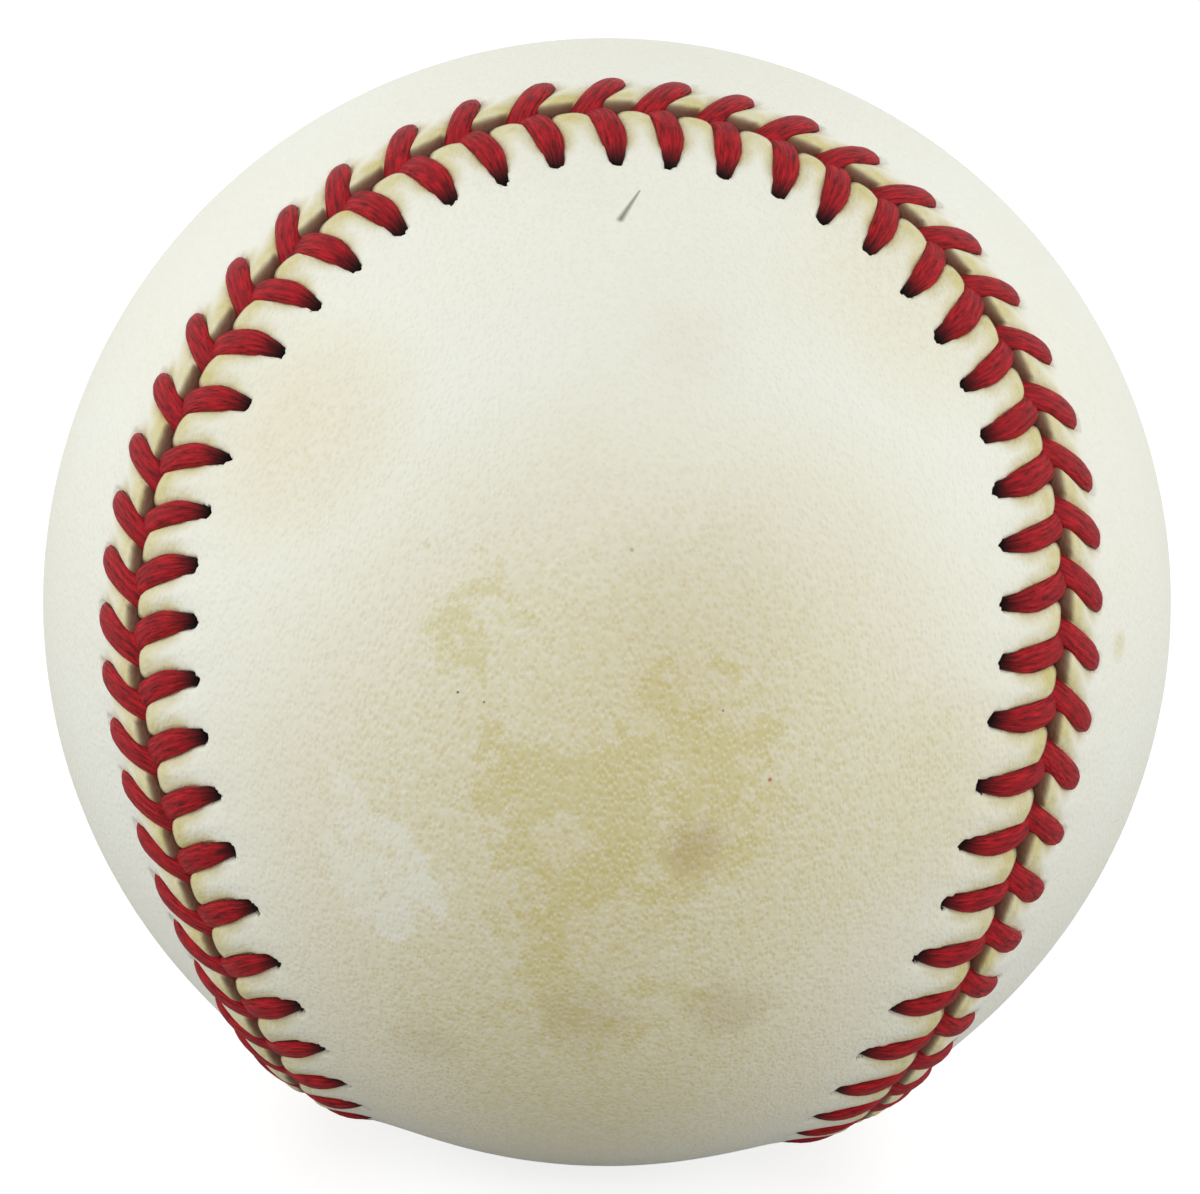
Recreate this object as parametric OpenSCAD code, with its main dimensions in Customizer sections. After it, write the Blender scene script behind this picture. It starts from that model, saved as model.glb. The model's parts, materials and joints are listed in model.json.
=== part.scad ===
// Baseball with a laced two-piece leather cover.
// The origin is the centre of the ball. The lower cover panel has one round lobe at the front (-Y)
// and one at the back, and crosses the bottom pole. The upper panel has its lobes at the left and
// right, and crosses the top pole. All lengths are in millimetres.
//
// The ball is built outwards from its cork centre, and every layer adds its own thickness.

/* [Cover] */
// Thickness of the cover leather
leather_t = 1.25; // [1.15:0.05:1.4]
// Height of the puffed tabs beside the seam over the leather
tab_rise = 0.9; // [0.7:0.05:1.1]
// Height of the pressed leather under the crown of a stitch
bed_rise = 0.42; // [0.3:0.02:0.5]
// Depth of the pocket under the seam, measured from the leather's face
pocket_depth = 0.25; // [0.15:0.01:0.3]

/* [Seam] */
// Share of the first harmonic in the seam curve, which sets the width of the waist
seam_share = 0.709; // [0.68:0.001:0.72]
// Share of the fifth harmonic, which squares the lobes a little
fifth_share = -0.023; // [-0.04:0.001:0]
// Stitches on each side of the seam
stitch_n = 108; // [100:4:116]
// Distance from the seam line to the foot of a stitch under its awl hole
stitch_reach = 4.4; // [4:0.05:4.8]
// How far a stitch passes the seam line to get beneath the other panel
slit_cross = 0.5; // [0.4:0.02:0.6]
// How far the stitches of the lobes crowd towards the waist, as a share of their pitch
crowding_share = 0.125; // [0:0.005:0.2]
// How far a stitch leans along the seam from the slit to its hole
stitch_lean = 2; // [1.6:0.05:2.2]
// Half the distance along the seam between two stitches that cross in the slit
stagger = 0.65; // [0.6:0.01:0.7]

/* [Thread] */
// Diameter of the waxed thread where it shows
thread_d = 1; // [0.8:0.02:1.1]
// Diameter of the thread where the cover presses it on the winding
pressed_thread_d = 0.76; // [0.6:0.02:0.8]
// Depth of the hidden runs of thread under the leather's face
run_depth = 0.75; // [0.7:0.01:0.8]

/* [Winding] */
// Thickness of the first, grey four-ply wool
first_wool_t = 14.65; // [14:0.05:15]
// Thickness of the second, white three-ply wool
second_wool_t = 1.75; // [1.5:0.05:2]
// Thickness of the third, grey three-ply wool
third_wool_t = 1.97; // [1.5:0.01:2.5]
// Thickness of the cotton finishing winding
cotton_t = 0.45; // [0.3:0.05:0.6]
// Thickness of the rubber cement over the winding
cement_t = 0.1; // [0.05:0.01:0.15]

/* [Core] */
// Diameter of the cork and rubber centre
cork_d = 20.6; // [18:0.1:22]
// Thickness of the two black rubber shells
inner_rubber_t = 3.7; // [3:0.1:4.5]
// Thickness of the red rubber coat over them
rubber_coat_t = 2.65; // [2:0.05:3.5]
// Thickness of the gasket between the black shells
gasket_t = 1.2; // [0.8:0.1:2]

/* [Hidden] */

// Clearance between one layer of the ball and the next, taken from the outer one's thickness
layer_gap = 0.02;
// Clearance of the faceted leather from the round cement coat
leather_gap = 0.18;
// Clearance between the thread and the leather that it lies on or passes through
thread_gap = 0.05;

// Radius over each layer, from the cork to the leather clear of the seam
cork_r = cork_d / 2;
inner_rubber_r = cork_r + inner_rubber_t;
rubber_coat_r = inner_rubber_r + rubber_coat_t;
first_wool_r = rubber_coat_r + first_wool_t;
second_wool_r = first_wool_r + second_wool_t;
third_wool_r = second_wool_r + third_wool_t;
cotton_r = third_wool_r + cotton_t;
cement_r = cotton_r + cement_t;
ball_r = cement_r + leather_gap + leather_t;
thread_r = thread_d / 2;

// Sign of the distance beside the seam, towards each panel
lower_side = -1;
upper_side = 1;

// Turns the seam curve so that the lower panel's lobes face front and back
front_turn = -135;
round_fn = 96;
thread_fn = 24;
leg_fn = 60;

// Seam curve
// A closed curve on the sphere: a circle with its third and fifth harmonics, and a height that
// rises and falls twice. The angle t runs once round for a full turn of 360 degrees.

// Lobes of the two panels
lobe_n = 4;
third_share = 1 - seam_share;
height_share = 2 * sqrt(seam_share * third_share);
// Steps in which the seam is measured, and the angle at the top of the front lobe
seam_steps = 720;
start_angle = 45;

function unit(v) = v / norm(v);
function seam_dir(t) = unit([
    seam_share * cos(t) + third_share * cos(3 * t) + fifth_share * cos(5 * t),
    seam_share * sin(t) - third_share * sin(3 * t) + fifth_share * sin(5 * t),
    height_share * sin(2 * t)
]);
function seam_slope(t) = [
    -seam_share * sin(t) - 3 * third_share * sin(3 * t) - 5 * fifth_share * sin(5 * t),
    seam_share * cos(t) - 3 * third_share * cos(3 * t) + 5 * fifth_share * cos(5 * t),
    2 * height_share * cos(2 * t)
];
function seam_tangent(t) = let (n = seam_dir(t), v = seam_slope(t)) unit(v - n * (n * v));
function across_seam(t) = cross(seam_dir(t), seam_tangent(t));
function step_t(i) = start_angle + i * 360 / seam_steps;
function step_len(i) = ball_r * norm(seam_dir(step_t(i + 1)) - seam_dir(step_t(i)));

// Distance along the seam against t, from the top of the front lobe
seam_table = [
    for (i = 0, s = 0; i <= seam_steps; s = s + step_len(i), i = i + 1) [s, step_t(i)]
];
seam_len = seam_table[seam_steps][0];
pitch = seam_len / stitch_n;
function seam_t(s) = let (lap = floor(s / seam_len))
    360 * lap + lookup(s - lap * seam_len, seam_table);
// Distance along the seam to the middle of stitch k
function stitch_place(k) = pitch * (k + crowding_share * sin(lobe_n * 360 * k / stitch_n));
function arc_angle(len) = len / ball_r * 180 / PI;

// Point at a distance s along the seam, d beside it and h over the leather's face
function seam_point(s, d, h) = let (t = seam_t(s), a = arc_angle(d))
    (ball_r + h) * (seam_dir(t) * cos(a) + across_seam(t) * sin(a));

// Stitches
// A stitch is an arc of thread that rises through the awl hole, lies on the pressed leather and
// dives past the seam line beneath the other panel. A hidden run then carries the thread on to the
// next hole of that panel.

crown_h = bed_rise + thread_gap + thread_r;
crown_d = (stitch_reach - slit_cross) / 2;
half_span = (stitch_reach + slit_cross) / 2;
crown_over_foot = crown_h + run_depth;
leg_arc_r = (half_span * half_span + crown_over_foot * crown_over_foot) / (2 * crown_over_foot);
leg_centre_h = crown_h - leg_arc_r;
bed_arc_r = leg_arc_r - thread_r - thread_gap;
roof_arc_r = leg_arc_r + thread_r + thread_gap;

// Reach of an arc about the stitch's centre, beside the crown, at a height over the leather
function arc_reach(r, h) = sqrt(r * r - (h - leg_centre_h) * (h - leg_centre_h));
// Height of the pressed leather that the stitch lies on, at a distance from the seam line
function bed_h(d) = leg_centre_h + sqrt(bed_arc_r * bed_arc_r - (d - crown_d) * (d - crown_d));

function side_stagger(side) = side == lower_side ? stagger : -stagger;
function lean_share(d) = min(1, (d + slit_cross) / (stitch_reach + slit_cross));
function crossing_s(k, d) = stitch_place(k) + stitch_lean * lean_share(d);
function stitch_s(side, k, d) = crossing_s(k, d) + side_stagger(side) * (1 - lean_share(d));
function stitch_foot(side, k, d) = seam_point(stitch_s(side, k, d), side * d, -run_depth);
function hole_foot(side, k) = stitch_foot(side, k, stitch_reach);
function slit_foot(side, k) = stitch_foot(side, k, -slit_cross);

// Arc of round thread in the plane of two unit axes, from one angle over a sweep
module thread_arc(centre, x_axis, y_axis, arc_r, from, sweep, d) {
    z_axis = cross(x_axis, y_axis);
    multmatrix([
        [x_axis[0], y_axis[0], z_axis[0], centre[0]],
        [x_axis[1], y_axis[1], z_axis[1], centre[1]],
        [x_axis[2], y_axis[2], z_axis[2], centre[2]],
        [0, 0, 0, 1]
    ])
    rotate([0, 0, from])
    rotate_extrude(angle = sweep, $fn = leg_fn)
    translate([arc_r, 0])
    circle(d = d, $fn = thread_fn);
}

module stitch(side, k) {
    hole = hole_foot(side, k);
    slit = slit_foot(side, k);
    middle = (hole + slit) / 2;
    up = unit(middle);
    along = unit(hole - slit);
    half = norm(hole - slit) / 2;
    rise = ball_r + crown_h - norm(middle);
    arc_r = (half * half + rise * rise) / (2 * rise);
    overrun = pressed_thread_d / 2 / arc_r * 180 / PI;
    half_sweep = atan2(half, arc_r - rise) + overrun;
    thread_arc(up * (ball_r + crown_h - arc_r), up, along, arc_r,
        -half_sweep, 2 * half_sweep, thread_d);
}

module hidden_run(from_point, to_point) {
    x_axis = unit(from_point);
    z_axis = unit(cross(from_point, to_point));
    sweep = acos(x_axis * unit(to_point));
    thread_arc([0, 0, 0], x_axis, cross(z_axis, x_axis), norm(from_point),
        0, sweep, pressed_thread_d);
}

// One needle's thread: its stitches change sides at every hole, and its two ends are tucked away
// beneath the cover where the last stitch meets the first
module needle_thread(first_side) {
    rotate([0, 0, front_turn])
    for (k = [0 : stitch_n - 1]) {
        side = k % 2 == 0 ? first_side : -first_side;
        stitch(side, k);
        if (k < stitch_n - 1) hidden_run(slit_foot(side, k), hole_foot(-side, k + 1));
    }
}

// Cover panels
// Each panel is laid out in rows beside the seam. Beside every stitch a row has two points, and a
// third on the puffed tab up to the awl holes. Rows far from the seam have one point a stitch.

// Half the width of the notch in the edge, which two crossing stitches pass
slit_half_w = stagger + thread_r + 3 * thread_gap;
// Steepest lean of a stitch, and half the width of an awl hole along the seam, which clears it
steepest_lean = atan2(stitch_lean + stagger, stitch_reach + slit_cross);
hole_half_w = thread_r / cos(steepest_lean) + 4 * thread_gap;
// How far the foot of the edge stands back behind its lip
edge_back = 0.15;
// Distance of a tab's tip from the seam line, at its foot and at its lip
tab_tip_d = 0.2;
tab_lip_d = 0.3;
// Heights of a tab's lip and back, as shares of its rise, and the place of its top before the crown
tab_lip_share = 0.55;
tab_back_share = 0.83;
tab_top_share = 0.82;
// Height of the leather at the near and at the far rim of an awl hole
near_rim_h = 0.2;
far_rim_h = 0.3;
// Leather that slopes down behind the holes: to the skirt, then to the open field of the panel
skirt_w = 1.7;
skirt_h = 0.12;
field_w = 2.8;
// Underside that slopes down from the holes to its seat on the winding
seat_w = 2.1;
// Columns across the open field
field_cols = 8;

edge_d = crown_d - arc_reach(bed_arc_r, near_rim_h) + edge_back;
near_rim_d = crown_d + arc_reach(bed_arc_r, near_rim_h) - thread_gap;
near_foot_d = crown_d + arc_reach(bed_arc_r, -pocket_depth) - thread_gap;
far_rim_d = crown_d + arc_reach(roof_arc_r, far_rim_h) + thread_gap;
far_foot_d = crown_d + arc_reach(roof_arc_r, -pocket_depth) + thread_gap;
skirt_d = far_rim_d + skirt_w;
field_d = skirt_d + field_w;
seat_d = far_foot_d + seat_w;

// Three points for one stitch of a row near the slit: beside the stitch, past it and on the tab
function tab_row(side, k, half_w, d, h, tab_d, tab_h, follow) = let (
    mid_s = follow ? stitch_s(side, k, d) : crossing_s(k, d),
    tab_s = follow ? stitch_s(side, k + 1 / 2, tab_d) : crossing_s(k + 1 / 2, tab_d)
) [
    seam_point(mid_s - half_w, side * d, h),
    seam_point(mid_s + half_w, side * d, h),
    seam_point(tab_s, side * tab_d, tab_h)
];
function plain_row(side, k, d, h) = let (mid_s = stitch_s(side, k, d)) [
    seam_point(mid_s - hole_half_w, side * d, h),
    seam_point(mid_s + hole_half_w, side * d, h)
];
function stitch_points(side, k) = concat(
    tab_row(side, k, slit_half_w, edge_d + edge_back, -pocket_depth,
        tab_tip_d, -pocket_depth / 2, false),
    tab_row(side, k, slit_half_w, edge_d, bed_h(edge_d), tab_lip_d, tab_rise * tab_lip_share, false),
    tab_row(side, k, hole_half_w, crown_d, bed_rise, crown_d * tab_top_share, tab_rise, true),
    tab_row(side, k, hole_half_w, near_rim_d, bed_h(near_rim_d), near_rim_d,
        tab_rise * tab_back_share, true),
    plain_row(side, k, far_rim_d, far_rim_h),
    plain_row(side, k, skirt_d, skirt_h),
    [seam_point(stitch_place(k), side * field_d, 0)],
    plain_row(side, k, near_foot_d, -pocket_depth),
    plain_row(side, k, far_foot_d, -pocket_depth),
    [seam_point(stitch_place(k), side * seat_d, -leather_t)]
);

// Points in each row of a stitch, in the order of stitch_points, and the place where each row starts
row_points = [3, 3, 3, 3, 2, 2, 1, 2, 2, 1];
function row_start(n) = n == 0 ? 0 : row_start(n - 1) + row_points[n - 1];
edge_i = row_start(0);
lip_i = row_start(1);
top_i = row_start(2);
rim_i = row_start(3);
far_i = row_start(4);
skirt_i = row_start(5);
field_i = row_start(6);
near_foot_i = row_start(7);
far_foot_i = row_start(8);
seat_i = row_start(9);
points_n = row_start(10);
function at(k, i) = ((k + stitch_n) % stitch_n) * points_n + i;

function quad(a, b, c, d) = [[a, b, c], [a, c, d]];
// Faces between two rows of three points, from stitch k to the next
function tab_band(k, lo, hi) = [
    for (c = [0 : 2])
        let (a = at(k, lo + c), b = c < 2 ? at(k, lo + c + 1) : at(k + 1, lo))
        let (e = c < 2 ? at(k, hi + c + 1) : at(k + 1, hi), f = at(k, hi + c))
        each quad(a, b, e, f)
];
function gap_faces(k, lo, hi) = quad(at(k, lo + 1), at(k + 1, lo), at(k + 1, hi), at(k, hi + 1));
function stitch_faces(k) = concat(
    tab_band(k, edge_i, lip_i),
    tab_band(k, lip_i, top_i),
    tab_band(k, top_i, rim_i),
    // Tab between two holes, with its point before them and none after
    [
        [at(k, rim_i + 1), at(k, rim_i + 2), at(k, far_i + 1)],
        [at(k, rim_i + 2), at(k + 1, far_i), at(k, far_i + 1)],
        [at(k, rim_i + 2), at(k + 1, rim_i), at(k + 1, far_i)]
    ],
    quad(at(k, far_i), at(k, far_i + 1), at(k, skirt_i + 1), at(k, skirt_i)),
    gap_faces(k, far_i, skirt_i),
    [
        [at(k, skirt_i), at(k, skirt_i + 1), at(k, field_i)],
        [at(k, skirt_i + 1), at(k + 1, skirt_i), at(k + 1, field_i)],
        [at(k, skirt_i + 1), at(k + 1, field_i), at(k, field_i)]
    ],
    // Walls of the awl hole
    quad(at(k, rim_i), at(k, rim_i + 1), at(k, near_foot_i + 1), at(k, near_foot_i)),
    quad(at(k, rim_i + 1), at(k, far_i + 1), at(k, far_foot_i + 1), at(k, near_foot_i + 1)),
    quad(at(k, far_i + 1), at(k, far_i), at(k, far_foot_i), at(k, far_foot_i + 1)),
    quad(at(k, far_i), at(k, rim_i), at(k, near_foot_i), at(k, far_foot_i)),
    // Underside
    quad(at(k, edge_i + 1), at(k, edge_i), at(k, near_foot_i), at(k, near_foot_i + 1)),
    [
        [at(k, edge_i + 2), at(k, edge_i + 1), at(k, near_foot_i + 1)],
        [at(k, edge_i + 2), at(k, near_foot_i + 1), at(k + 1, near_foot_i)],
        [at(k + 1, edge_i), at(k, edge_i + 2), at(k + 1, near_foot_i)]
    ],
    quad(at(k + 1, near_foot_i), at(k, near_foot_i + 1), at(k, far_foot_i + 1), at(k + 1, far_foot_i)),
    [
        [at(k, far_foot_i + 1), at(k, far_foot_i), at(k, seat_i)],
        [at(k + 1, far_foot_i), at(k, far_foot_i + 1), at(k + 1, seat_i)],
        [at(k, far_foot_i + 1), at(k, seat_i), at(k + 1, seat_i)]
    ]
);

// The field inside the rows is bridged by rungs from one side of the panel to the other. Rung j
// joins the stitches j places before and after the lobe's tip, and m counts along the rung.
function slerp(a, b, share) = let (w = acos(unit(a) * unit(b)))
    (a * sin((1 - share) * w) + b * sin(share * w)) / sin(w);
function rung_points(side, tip, d, h) = [
    for (j = [1 : stitch_n / 2 - 1])
        let (a = seam_point(stitch_place(tip + j), side * d, h))
        let (b = seam_point(stitch_place(tip - j), side * d, h))
        for (m = [1 : field_cols - 1]) slerp(a, b, m / field_cols)
];
function rung_at(tip, j, m, i, base) =
    m == 0 ? at(tip + j, i)
    : m == field_cols ? at(tip - j + stitch_n, i)
    : base + (j - 1) * (field_cols - 1) + m - 1;
function field_faces(tip, i, base) = [
    for (m = [0 : field_cols - 1])
        [at(tip, i), rung_at(tip, 1, m, i, base), rung_at(tip, 1, m + 1, i, base)],
    for (j = [1 : stitch_n / 2 - 2], m = [0 : field_cols - 1])
        each quad(rung_at(tip, j, m, i, base), rung_at(tip, j + 1, m, i, base),
            rung_at(tip, j + 1, m + 1, i, base), rung_at(tip, j, m + 1, i, base)),
    for (m = [0 : field_cols - 1])
        let (j = stitch_n / 2 - 1)
        [rung_at(tip, j, m, i, base), at(tip + stitch_n / 2, i), rung_at(tip, j, m + 1, i, base)]
];
function turned(faces) = [for (f = faces) [f[0], f[2], f[1]]];

module cover_panel(side, tip) {
    rows = [for (k = [0 : stitch_n - 1]) each stitch_points(side, k)];
    outer = rung_points(side, tip, field_d, 0);
    inner = rung_points(side, tip, seat_d, -leather_t);
    outer_base = len(rows);
    inner_base = outer_base + len(outer);
    faces = concat(
        [for (k = [0 : stitch_n - 1]) each stitch_faces(k)],
        field_faces(tip, field_i, outer_base),
        turned(field_faces(tip, seat_i, inner_base))
    );
    rotate([0, 0, front_turn])
    polyhedron(
        points = concat(rows, outer, inner),
        faces = side == upper_side ? turned(faces) : faces
    );
}

module shell(outer_r, inner_r) {
    difference() {
        sphere(r = outer_r, $fn = round_fn);
        sphere(r = inner_r, $fn = round_fn);
    }
}

// Core
module cork_core() {
    color("#b98a57") sphere(r = cork_r, $fn = round_fn);
}

module half_shell() {
    intersection() {
        shell(inner_rubber_r, cork_r + layer_gap);
        translate([0, 0, gasket_t / 2 + layer_gap])
        cylinder(r = inner_rubber_r + gasket_t, h = inner_rubber_r, $fn = round_fn);
    }
}

module inner_rubber_upper() {
    color("#262626") half_shell();
}

module inner_rubber_lower() {
    color("#2c2c2c") mirror([0, 0, 1]) half_shell();
}

module rubber_gasket() {
    color("#a5362f")
    intersection() {
        shell(inner_rubber_r, cork_r + layer_gap);
        translate([0, 0, -gasket_t / 2])
        cylinder(r = inner_rubber_r + gasket_t, h = gasket_t, $fn = round_fn);
    }
}

module outer_rubber_coat() {
    color("#b5392f") shell(rubber_coat_r, inner_rubber_r + layer_gap);
}

// Windings
module first_wool_winding() {
    color("#8d9196") shell(first_wool_r, rubber_coat_r + layer_gap);
}

module second_wool_winding() {
    color("#e6e1d3") shell(second_wool_r, first_wool_r + layer_gap);
}

module third_wool_winding() {
    color("#7f848b") shell(third_wool_r, second_wool_r + layer_gap);
}

module cotton_winding() {
    color("#efeadb") shell(cotton_r, third_wool_r + layer_gap);
}

module cement_coat() {
    color("#d9c48e") shell(cement_r, cotton_r + layer_gap);
}

// Cover
module lower_cover_panel() {
    color("#efead9") cover_panel(lower_side, 0);
}

module upper_cover_panel() {
    color("#ece6d3") cover_panel(upper_side, stitch_n * 3 / 4);
}

module first_needle_thread() {
    color("#a3202b") needle_thread(lower_side);
}

module second_needle_thread() {
    color("#b02a33") needle_thread(upper_side);
}

cork_core();
inner_rubber_lower();
inner_rubber_upper();
rubber_gasket();
outer_rubber_coat();
first_wool_winding();
second_wool_winding();
third_wool_winding();
cotton_winding();
cement_coat();
lower_cover_panel();
upper_cover_panel();
first_needle_thread();
second_needle_thread();
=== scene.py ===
"""Baseball with a laced two-piece leather cover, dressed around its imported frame.

The cover's panels are bands of mesh that follow the seam: puffed tabs, the pressed beds under the
stitches, and the awl holes are all worked out from the distance along the seam and beside it. The
two threads are tubes that follow one path each from stitch to stitch.
"""
import bisect
import json
import math
import random
from functools import partial
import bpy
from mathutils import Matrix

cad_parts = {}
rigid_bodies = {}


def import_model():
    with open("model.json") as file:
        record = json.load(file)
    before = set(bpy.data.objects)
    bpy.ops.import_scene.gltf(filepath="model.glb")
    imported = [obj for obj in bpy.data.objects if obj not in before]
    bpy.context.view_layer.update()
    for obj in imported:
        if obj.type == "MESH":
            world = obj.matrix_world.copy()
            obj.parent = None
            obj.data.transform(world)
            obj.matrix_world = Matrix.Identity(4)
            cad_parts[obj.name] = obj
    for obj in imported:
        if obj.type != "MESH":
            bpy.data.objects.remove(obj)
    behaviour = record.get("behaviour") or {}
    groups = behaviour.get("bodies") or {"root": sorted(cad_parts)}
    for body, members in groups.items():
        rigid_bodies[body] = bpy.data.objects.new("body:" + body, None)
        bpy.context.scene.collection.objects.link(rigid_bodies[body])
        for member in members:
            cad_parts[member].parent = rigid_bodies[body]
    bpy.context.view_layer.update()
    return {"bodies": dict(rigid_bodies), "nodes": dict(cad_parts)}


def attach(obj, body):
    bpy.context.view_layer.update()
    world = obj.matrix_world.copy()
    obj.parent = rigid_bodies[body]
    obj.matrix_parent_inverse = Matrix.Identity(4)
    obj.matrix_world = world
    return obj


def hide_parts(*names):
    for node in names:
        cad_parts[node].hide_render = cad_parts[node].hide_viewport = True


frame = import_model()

from types import SimpleNamespace

import bmesh
import bpy
from mathutils import Matrix, Vector, noise

bl_info = {
    "name": "Laced Baseball",
    "version": (1, 0, 0),
    "blender": (4, 5, 0),
    "location": "View3D > Sidebar > Baseball",
    "description": "Leather cover, red lacing, core and studio of a baseball",
    "category": "Object",
}

MM = 0.001
IMAGE_WIDTH = 1200
TURN = 2 * math.pi
BODY = next(iter(frame["bodies"]))

# Sign of the distance beside the seam, towards each panel
LOWER = -1
UPPER = 1


def linear(code):
    """A colour written as sRGB hex digits, as Blender's linear colour with full alpha."""
    channels = [int(code[i:i + 2], 16) / 255 for i in (0, 2, 4)]
    return [c / 12.92 if c <= 0.04045 else ((c + 0.055) / 1.055) ** 2.4 for c in channels] + [1]


def size(name, description, millimetres):
    return bpy.props.FloatProperty(
        name=name, description=description, default=millimetres * MM, min=0, unit="LENGTH", precision=5)


def angle(name, description, degrees):
    return bpy.props.FloatProperty(
        name=name, description=description, default=math.radians(degrees), subtype="ANGLE")


def share(name, description, default):
    return bpy.props.FloatProperty(name=name, description=description, default=default, precision=3)


def colour(name, description, code):
    return bpy.props.FloatVectorProperty(
        name=name, description=description, default=linear(code), size=4, min=0, max=1, subtype="COLOR")


class SeamSettings(bpy.types.PropertyGroup):
    """The seam line and the stitches along it, as in the frame."""
    ball_radius: size("Ball radius", "Radius over the leather, clear of the seam", 37)
    seam_share: share("Seam share", "Share of the first harmonic in the seam curve", 0.709)
    fifth_share: share("Fifth share", "Share of the fifth harmonic, which squares the lobes", -0.023)
    crowding_share: share("Crowding", "How far the stitches crowd towards the waist", 0.125)
    stitches: bpy.props.IntProperty(
        name="Stitches", description="Stitches on each side of the seam", default=108, min=8)
    reach: size("Reach", "Distance from the seam to the foot of a stitch under its hole", 4.35)
    slit_cross: size("Slit crossing", "How far a stitch passes beneath the other panel", 0.5)
    lean: size("Lean", "How far a stitch leans along the seam", 2)
    stagger: size("Stagger", "Half the distance between two stitches that cross in the slit", 0.5)
    run_depth: size("Run depth", "Depth of the hidden runs of thread", 0.75)
    seed: bpy.props.IntProperty(name="Seed", description="Seed of the hand-sewn unevenness", default=7)


class CoverSettings(bpy.types.PropertyGroup):
    """The leather cover."""
    thickness: size("Thickness", "Thickness of the cover leather", 1.25)
    tab_rise: size("Tab rise", "Height of the puffed tabs between the stitches", 1)
    hole_place: size("Hole place", "Distance of an awl hole's middle from the seam", 4.15)
    hole_length: size("Hole length", "Half of the hole's length, away from the seam", 0.55)
    hole_width: size("Hole width", "Half of the hole's width, along the seam", 0.38)
    grain: size("Grain", "Spacing of the leather's hair pores", 0.26)
    cream: colour("Cream", "Clean cream leather", "F3F4E8")
    tan: colour("Tan", "Leather yellowed by age and handling", "D8C988")
    # Tab: handling stain, and painted shade towards the slit and beside the stitches
    tab: colour("Tab", "Tabs rubbed by fingers beside the stitches", "D2C682")
    film: colour("Film", "Yellow film that has flaked off in places", "CABC58")
    pore: colour("Pore", "Dirt in the hair pores", "CDB052")
    brown: colour("Brown", "Brown smudges of handling", "A8884A")
    # Slit: raw leather and old dirt, with painted shade of the narrow slit
    slit: colour("Slit", "Raw leather and old dirt in the slit", "683C26")
    # Edge: dark dirt for small dots and round the holes, and painted shade inside the holes
    edge: colour("Edge", "Dirt round the torn edge of a hole", "34160E")
    red_dot: colour("Red dot", "A small red stain", "C4202A")
    streak: colour("Streak", "A thin streak of dirt", "5A5C3C")


class ThreadSettings(bpy.types.PropertyGroup):
    """The waxed thread of the lacing."""
    width: size("Width", "Width of the flattened thread where it shows", 1.62)
    height: size("Height", "Thickness of the flattened thread where it shows", 0.74)
    pressed: size("Pressed", "Diameter of the thread where the cover presses it", 0.76)
    crimson: colour("Crimson", "Waxed crimson cotton", "C61C26")
    # Shade: darker fibres, and painted shade in the crease between the plies
    shade: colour("Shade", "Crimson between the plies and fibres", "42060E")
    # Soot: dirt on the thread, and painted shade in the mouth of a hole and on the hidden runs
    soot_and_shade: colour("Soot", "Dirty thread in the mouth of a hole", "1A0303")


class CoreSettings(bpy.types.PropertyGroup):
    """The layers beneath the cover."""
    cork: colour("Cork", "Cork granules", "B98A57")
    binder: colour("Binder", "Dark binder between the cork granules", "3A2614")
    black_rubber: colour("Black rubber", "Moulded black rubber", "262626")
    red_rubber: colour("Red rubber", "Moulded red rubber", "B5392F")
    grey_wool: colour("Grey wool", "Grey wool yarn", "8D9196")
    white_wool: colour("White wool", "White wool yarn", "E6E1D3")
    cotton: colour("Cotton", "Fine cotton yarn", "EFEADB")
    cement: colour("Cement", "Dried rubber cement", "D9C48E")


class StudioSettings(bpy.types.PropertyGroup):
    """The camera, the lights and the floor."""
    distance: size("Distance", "Distance from the camera to the ball's centre", 218.1)
    elevation: angle("Elevation", "Camera's angle above the horizon", 13.2)
    roll: angle("Roll", "Camera's turn about its own axis", 3.33)
    ball_pixels: share("Ball radius in pixels", "Radius of the ball in the whole image", 564)
    floor: colour("Floor", "Pale floor", "B6B6B6")
    lamp_power: share("Lamp power", "Power of each lamp before its share, in watts", 0.55)
    world_strength: share("World strength", "Strength of the even light around the ball", 0.8)


GROUPS = {
    "baseball_seam": SeamSettings,
    "baseball_cover": CoverSettings,
    "baseball_thread": ThreadSettings,
    "baseball_core": CoreSettings,
    "baseball_studio": StudioSettings,
}


# Seam line

def mix(a, b, part):
    return a + (b - a) * part


def smooth(low, high, value):
    """0 below low, 1 above high and an even curve between them."""
    x = min(1, max(0, (value - low) / (high - low)))
    return x * x * (3 - 2 * x)


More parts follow.
